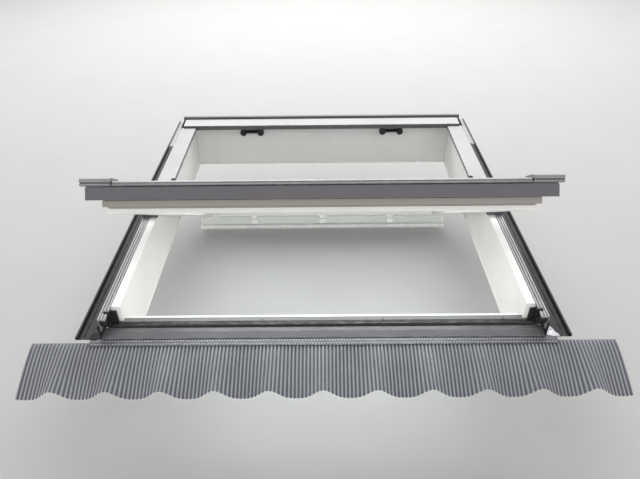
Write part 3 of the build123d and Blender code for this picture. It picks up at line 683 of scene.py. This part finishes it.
def swing(bm):
    """Turns a piece drawn on the closed sash about the pivot line into the open pose."""
    bmesh.ops.rotate(bm, cent=PIVOT, matrix=Matrix.Rotation(-OPEN, 3, "X"), verts=bm.verts)


def joined(first, second):
    """Adds the second bmesh to the first."""
    mesh = bpy.data.meshes.new("part")
    second.to_mesh(mesh)
    second.free()
    first.from_mesh(mesh)
    bpy.data.meshes.remove(mesh)


print("sheet", SHEET, "mm thick where nothing else is said")

# %% [markdown]
# ## Hood over the head
# The hood is a shallow tray turned upside down: its top and front are one sheet with a round nose, and its
# ends are turned down. The path is drawn out, the two ends are filled, and two flanges are pulled from the
# lower rims. A bevelled box would be quicker, but its rims would have no flanges.

# %% Hood
HEAD_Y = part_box("head")[0].y / MM
HOOD_HALF_W = HALF_W - 4
HOOD_FRONT = HEAD_Y - 42
HOOD_BACK = HALF_H - 20
HOOD_LIP = 83
HOOD_TOP_FRONT = 104
HOOD_TOP_BACK = 108
path = [
    (HOOD_BACK, HOOD_LIP + 1), (HOOD_BACK, HOOD_TOP_BACK), (HOOD_FRONT, HOOD_TOP_FRONT),
    (HOOD_FRONT, HOOD_LIP),
]
bm = drawn(path, -HOOD_HALF_W, HOOD_HALF_W)
for x in (-HOOD_HALF_W, HOOD_HALF_W):
    bmesh.ops.contextual_create(bm, geom=[v for v in bm.verts if abs(v.co.x - x * MM) < 1e-5])
bmesh.ops.recalc_face_normals(bm, faces=bm.faces)
rims = [e for e in bm.edges if len(e.link_faces) == 1]
front_rim = [e for e in rims if max(v.co.y for v in e.verts) < HOOD_FRONT * MM + 1e-4]
back_rim = [e for e in rims if min(v.co.y for v in e.verts) > HOOD_BACK * MM - 1e-4]
for rim, flange in ((front_rim, (0, 9, 0)), (back_rim, (0, 0, -5))):
    moved(bm, bmesh.ops.extrude_edge_only(bm, edges=rim), flange)
bmesh.ops.recalc_face_normals(bm, faces=bm.faces)
if max(bm.faces, key=lambda f: f.calc_center_median().z).normal.z < 0:
    bmesh.ops.reverse_faces(bm, faces=bm.faces)
rounded(bm, 2.6, 4, lambda e: max(v.co.z for v in e.verts) > 0.1)
rounded(bm, 1.2, 2, lambda e: e.calc_face_angle() > SHARP)
thickened(bm)
show("hood_folded", bm, ["hood"], "frame", "grey_aluminium")

# %% [markdown]
# ## Bottom cover of the sash
# The grey cover over the bottom rail has a plain face, and above it two rounded noses that carry rain off.
# Each nose catches the sky as a thin bright line, and that is what shows of it from below. A narrow slot
# above the face stays dark. The face runs on past the rail to both ends, so it is a sheet of its own. Both
# are drawn on the closed sash, in steps from the cover's upper front corner, and then swung open with it.

# %% Bottom cover
COVER_FRONT = 34 - HALF_H
COVER_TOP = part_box("upper_cover_right")[1].z / MM
COVER_DEPTH = 64.5
RAIL_FRONT = 43 - HALF_H
FACE_LOW = 42
FACE_HALF_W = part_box("bottom_cover")[1].x / MM
NOSE_HALF_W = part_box("stile_right")[1].x / MM - 22.5
face = points_from(COVER_FRONT, COVER_TOP, [(7.3, -15.2), (7.3, -17.8), (0, -17.8)])
face += [(COVER_FRONT, FACE_LOW), (RAIL_FRONT, FACE_LOW)]
noses = points_from(COVER_FRONT, COVER_TOP, [
    (COVER_DEPTH, -12), (COVER_DEPTH, 0), (8.8, 0), (3, -4.6), (2.7, -7.4), (-2.5, -13), (-2.5, -14.4),
    (4, -14.9),
])
lower = drawn(face, -FACE_HALF_W, FACE_HALF_W)
upper = drawn(noses, -NOSE_HALF_W, NOSE_HALF_W)
for sheet in (lower, upper):
    rounded(sheet, 0.6)
    thickened(sheet)
joined(lower, upper)
swing(lower)
show("bottom_cover_folded", lower, ["bottom_cover"], "sash", "grey_aluminium_tilted")

# %% [markdown]
# ## Ends of the bottom cover
# A moulded piece closes each end of the noses. Its front repeats the two noses, with a groove between them
# that shows as a dark line. It is solid, so its outline is one face that is drawn out, and nothing is
# thickened.

# %% Cover ends
END_FRONT = COVER_FRONT - 3.2
END_TOP = COVER_TOP + 8
END_DEPTH = COVER_DEPTH + 3.2
outline = points_from(END_FRONT, END_TOP, [
    (END_DEPTH, -20), (END_DEPTH, 0), (5, 0), (0, -3), (0, -12), (7, -12.6), (7, -15.6), (0.5, -16.2),
    (0.5, -20.6), (7, -23),
])
for side in ("left", "right"):
    node = "cover_end_" + side
    end_low, end_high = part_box(node)
    bm = bmesh.new()
    bm.faces.layers.float.new("worn")
    end = bm.faces.new([bm.verts.new((end_low.x, y * MM, z * MM)) for y, z in outline])
    moved(bm, bmesh.ops.extrude_face_region(bm, geom=[end]), ((end_high.x - end_low.x) / MM, 0, 0))
    bmesh.ops.recalc_face_normals(bm, faces=bm.faces)
    rounded(bm, 0.5, 2, lambda e: abs(e.verts[0].co.x - e.verts[1].co.x) > 0.001)
    swing(bm)
    show(node + "_moulded", bm, [node], "sash", "light_plastic")

# %% [markdown]
# ## Control bar
# The bar along the top rail is a pale lacquered section: a flat web, and a rounded grip for the fingers. The
# web is cut away round the three hinges. The section is drawn out in one run, cut with planes and thickened,
# then swung. Planes cut an open skin cleanly, where a boolean would need solids.

# %% Control bar
NOTCH_HALF_W = 16
NOTCH_DEPTH = 13
bar_at = Matrix.Rotation(OPEN, 3, "X") @ (Vector(joints["bar_turn"]["pos_m"]) - PIVOT) + PIVOT
bar_y = bar_at.y / MM
bar_z = bar_at.z / MM
bar_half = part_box("control_bar")[1].x / MM
hinge_boxes = [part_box("bar_hinge_" + side) for side in ("left", "middle", "right")]
hinge_xs = [sum(corner.x for corner in corners) / 2 for corners in hinge_boxes]
section = [(-5, 3), (-5, -32), (-20, -36), (-23, -43), (-18, -53), (-4, -57)]
bm = drawn(points_from(bar_y, bar_z, section), -bar_half, bar_half)
rounded(bm, 3.5, 4)
notch_floor = (bar_z - NOTCH_DEPTH) * MM
cuts = [((x + side * NOTCH_HALF_W * MM, 0, 0), (1, 0, 0)) for x in hinge_xs for side in (-1, 1)]
cuts.append(((0, 0, notch_floor), (0, 0, 1)))
for place, normal in cuts:
    everything = bm.verts[:] + bm.edges[:] + bm.faces[:]
    bmesh.ops.bisect_plane(bm, geom=everything, dist=1e-7, plane_co=place, plane_no=normal)
inside = [
    f for f in bm.faces if f.calc_center_median().z > notch_floor
    and any(abs(f.calc_center_median().x - x) < NOTCH_HALF_W * MM for x in hinge_xs)
]
bmesh.ops.delete(bm, geom=inside, context="FACES")
thickened(bm, 2.4)
swing(bm)
show("control_bar_folded", bm, ["control_bar"], "control_bar", "pale_aluminium")
print("bar hinge at", round(bar_y), round(bar_z), "mm on the closed sash")

# %% [markdown]
# ## Side gutters
# Rain that runs in from the side goes down a folded channel along each jamb. Its near-black colour is painted
# shade. A low rib keeps it inside, and the outer rim is folded back on itself. The left channel is the right
# one's path, mirrored and read
# backwards, so that the thickness still goes to the inside.

# %% Side gutters
GUTTER_FLOOR = 3
gutter_low, gutter_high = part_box("gutter_right")
inner = HALF_W + 3.2
outer = gutter_high.x / MM
rib = HALF_W + 57
right_path = [
    (inner, 56), (inner, GUTTER_FLOOR), (rib, GUTTER_FLOOR), (rib + 2.5, GUTTER_FLOOR + 3.5),
    (rib + 5, GUTTER_FLOOR), (outer, GUTTER_FLOOR), (outer, 13), (outer - 8, 15),
]
left_path = [(-x, z) for x, z in reversed(right_path)]
for side, path in (("left", left_path), ("right", right_path)):
    bm = drawn(path, gutter_low.y / MM, gutter_high.y / MM, along="Y")
    rounded(bm, 1.2)
    thickened(bm, 1.2)
    show("gutter_" + side + "_folded", bm, ["gutter_" + side], "frame", "dark_flashing")

# %% [markdown]
# ## Sill cladding and its seal
# The cladding on the sill starts with a pale ledge, drops into a channel that is filled by a black seal, and
# ends in a creased slope that sheds the water. The ledge is a sheet of its own with a lighter finish, because
# one sheet would need two materials that meet in the channel.

# %% Sill cladding and seal
LEDGE_BACK = 81 - HALF_H
LEDGE_FRONT = 63.5 - HALF_H
LEDGE_TOP = 16
CHANNEL_FLOOR = 7.6
ledge = [
    (LEDGE_BACK, 2), (LEDGE_BACK, LEDGE_TOP), (LEDGE_FRONT, LEDGE_TOP), (LEDGE_FRONT, CHANNEL_FLOOR),
    (LEDGE_FRONT - 24.5, CHANNEL_FLOOR),
]
slope = points_from(-HALF_H, 0, [
    (40.6, 6.4), (40.6, 12), (36, 12.5), (25, 11.6), (1, 5.6), (-0.4, 3.6), (-1, -13.5),
])
seal = points_from(LEDGE_FRONT, 0, [
    (-0.4, 7.8), (-0.4, 14.5), (-4, 15.2), (-9.5, 14.6), (-12.5, 15), (-15.5, 19.6), (-18.5, 19.4),
    (-20.5, 12), (-21.9, 7.8),
])
for name, path, half, replaced, finish_name in (
    ("sill_ledge_folded", ledge, HALF_W - 36.5, [], "ledge_lacquer"),
    ("sill_slope_folded", slope, HALF_W + 2.8, ["sill_cladding"], "sill_lacquer"),
):
    bm = drawn(path, -half, half)
    rounded(bm, 0.9)
    thickened(bm)
    show(name, bm, replaced, "frame", finish_name)
bm = drawn(seal, 20 - HALF_W, HALF_W - 20)
rounded(bm, 1.0)
thickened(bm, 1.5)
show("sill_seal_bulb", bm, ["sill_gasket"], "frame", "black_rubber")

# %% [markdown]
# ## Front flashing and its stamped dots
# The flashing under the sill is folded over the upper end of the pleats, and two rows of small round dots are
# stamped in it. A dot is a flattened ball that is sunk in the sheet by half. It has few faces, because there
# are hundreds of them. A number called crest is 1 on the dots, so they take the painted highlight, and the
# sheet between them takes the painted shade.

# %% Front flashing
def repeated(bm, times, step):
    """Copies everything in the bmesh over and over, each time one step further, in millimetres."""
    first = bm.verts[:] + bm.edges[:] + bm.faces[:]
    for k in range(1, times):
        moved(bm, bmesh.ops.duplicate(bm, geom=first), Vector(step) * k)


FRONT_HALF_W = HALF_W + 36
DOT_RADIUS = 3.1
DOT_FLATTENED = 0.75
DOT_ROWS = 2
DOT_COUNT = (12, 13)
DOT_MARGIN = 5
DOT_PITCH = 2 * (FRONT_HALF_W - DOT_MARGIN) / (DOT_COUNT[0] * DOT_COUNT[1])
fold = [(28, 2.6), (14, 4.2), (6, 4.6), (4.4, 3), (4.4, -16)]
bm = drawn([(-HALF_H - y, z) for y, z in fold], -FRONT_HALF_W, FRONT_HALF_W)
rounded(bm, 0.7, 2)
thickened(bm, 1.2)
crest = bm.verts.layers.float.new("crest")
dots = bmesh.new()
bmesh.ops.create_uvsphere(dots, u_segments=8, v_segments=6, radius=DOT_RADIUS * MM)
bmesh.ops.scale(dots, verts=dots.verts, vec=(1, 1, DOT_FLATTENED))
repeated(dots, DOT_ROWS, (DOT_PITCH / 2, -11, -0.9))
repeated(dots, DOT_COUNT[0], (DOT_PITCH, 0, 0))
repeated(dots, DOT_COUNT[1], (DOT_PITCH * DOT_COUNT[0], 0, 0))
bmesh.ops.translate(dots, verts=dots.verts, vec=Vector((6 - FRONT_HALF_W, -HALF_H - 10.5, 4.2)) * MM)
plain = len(bm.verts)
joined(bm, dots)
bm.verts.ensure_lookup_table()
# The dots get crest 1, and with it the painted highlight.
for vertex in bm.verts[plain:]:
    vertex[crest] = 1
show("front_flashing_folded", bm, ["front_flashing"], "frame", "apron_pleats")
print("dots:", DOT_ROWS * DOT_COUNT[0] * DOT_COUNT[1], "pitch", round(DOT_PITCH, 1), "mm")

# %% [markdown]
# ## Crumpled corners
# Beside each end of the sill a soft sheet was folded by hand. Its CAD solid has six corners. A merged copy is
# cut into small faces, and two sizes of noise push them up and down. A cloth simulation could crumple it too,
# but it would leave the place that the solid gives.

# %% Crumpled corners
CRUMPLE = 6.5 * MM
CRUMPLE_FINE = 2 * MM
for side in ("left", "right"):
    node = "flashing_corner_" + side
    bm = bmesh.new()
    bm.from_mesh(frame["nodes"][node].data)
    bmesh.ops.remove_doubles(bm, verts=bm.verts, dist=SAME_PLACE)
    bmesh.ops.subdivide_edges(bm, edges=bm.edges, cuts=9, use_grid_fill=True)
    for vertex in bm.verts:
        vertex.co.z += CRUMPLE * noise.noise(vertex.co * 95) + CRUMPLE_FINE * noise.noise(vertex.co * 260)
    bm.faces.layers.float.new("worn")
    bmesh.ops.recalc_face_normals(bm, faces=bm.faces)
    # Painted light: the two corners are alike, but their slots give the right one bare metal, which glints,
    # and the left one grey lacquer, which stays dark.
    show(node + "_crumpled", bm, [node], "frame", slots[node], smooth_below=12)

# %% [markdown]
# ## Pleated apron
# The apron is soft aluminium pressed into fine pleats, so that it can be dressed down by hand onto a wavy
# surface. A flat grid is stretched to size, and every vertex is lifted by three things: the pleat it lies on,
# the long wave, which grows towards the lower edge, and the fall of the whole sheet. The pleats are pressed
# flat at the top. Real pleats aren't quite straight, so they sway by up to a millimetre and a half.

# %% Pleated apron
PLEAT_PITCH = 11
PLEAT_HEIGHT = 2.1
STEPS_PER_PLEAT = 8
STEPS_DOWN = 16
WAVE_PITCH = 155
WAVE_HEIGHT = 34
WAVE_FLAT = 0.2
FALL = 45
TOP_HEIGHT = 1.9
apron_low, apron_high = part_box("apron")
apron_half_w = apron_high.x / MM - 0.8
apron_top_y = apron_high.y / MM
apron_length = (apron_high.y - apron_low.y) / MM
pleats = round(2 * apron_half_w / PLEAT_PITCH)
bm = bmesh.new()
crest = bm.verts.layers.float.new("crest")
bmesh.ops.create_grid(bm, x_segments=pleats * STEPS_PER_PLEAT, y_segments=STEPS_DOWN, size=1)
for vertex in bm.verts:
    share = (1 - vertex.co.y) / 2
    x = vertex.co.x * apron_half_w
    turn = 2 * math.pi * x / WAVE_PITCH
    wave = 0.5 * WAVE_HEIGHT * share ** 1.5 * (math.cos(turn) + WAVE_FLAT * (math.cos(2 * turn) - 1))
    sway = 0.9 * share * math.sin(x / 37) + 0.6 * share * math.sin(x / 91 + 2)
    pleat = math.cos(math.pi * pleats * (x + sway) / apron_half_w) * min(1, share / 0.05 + 0.25)
    height = TOP_HEIGHT + wave + PLEAT_HEIGHT * pleat - FALL * share ** 1.3
    vertex[crest] = 0.5 + 0.5 * pleat
    vertex.co = Vector((x, apron_top_y - apron_length * share, height)) * MM
bmesh.ops.recalc_face_normals(bm, faces=bm.faces)
if sum(f.normal.z for f in bm.faces) < 0:
    bmesh.ops.reverse_faces(bm, faces=bm.faces)
thickened(bm, 0.8)
show("apron_pleated", bm, ["apron"], "frame", "apron_pleats", smooth_below=60)
print("pleats:", pleats)

# %% [markdown]
# ## Nodes kept as they are
# The panes, their seal and the screws need no new shape. They keep their CAD mesh and only change their
# finish, which a node takes in its material slots. The replaced nodes get theirs too, though they are hidden.

# %% Give every node its finish
for node, piece in frame["nodes"].items():
    piece.data.materials.clear()
    piece.data.materials.append(finishes[finish_for(node)])
print("nodes with a finish:", len(frame["nodes"]))

# %% [markdown]
# ## Floor
# A plain pale floor lies just under the lowest point, the low end of the control bar. It isn't part of the
# window. It takes the window's shadow and stands for the surroundings.

# %% Floor
FLOOR_GAP = 0.012
FLOOR_LIGHT = (0.405, 0.403, 0.40, 1)
FLOOR_DARK = (0.375, 0.373, 0.37, 1)
bm = bmesh.new()
bmesh.ops.create_grid(bm, x_segments=1, y_segments=1, size=14)
bmesh.ops.translate(bm, verts=bm.verts, vec=(0, 0, cad_box[0].z - FLOOR_GAP))
mesh = bpy.data.meshes.new("floor")
bm.to_mesh(mesh)
bm.free()
floor = bpy.data.objects.new("floor", mesh)
bpy.context.scene.collection.objects.link(floor)
material, tree = new_tree("pale_floor")
mottle = clouds(place_in(tree), 3.0)
colour = mixed(mottle, FLOOR_DARK, FLOOR_LIGHT)
rough = 0.8 + mottle * 0.1
mesh.materials.append(finish(material, tree, colour, rough, mottle, 0.0005, {"Specular IOR Level": 0.1}))
print("floor at", round(cad_box[0].z - FLOOR_GAP, 3), "m")

# %% Set the view transform and finish
bpy.context.scene.view_settings.view_transform = "Standard"
bpy.context.view_layer.update()
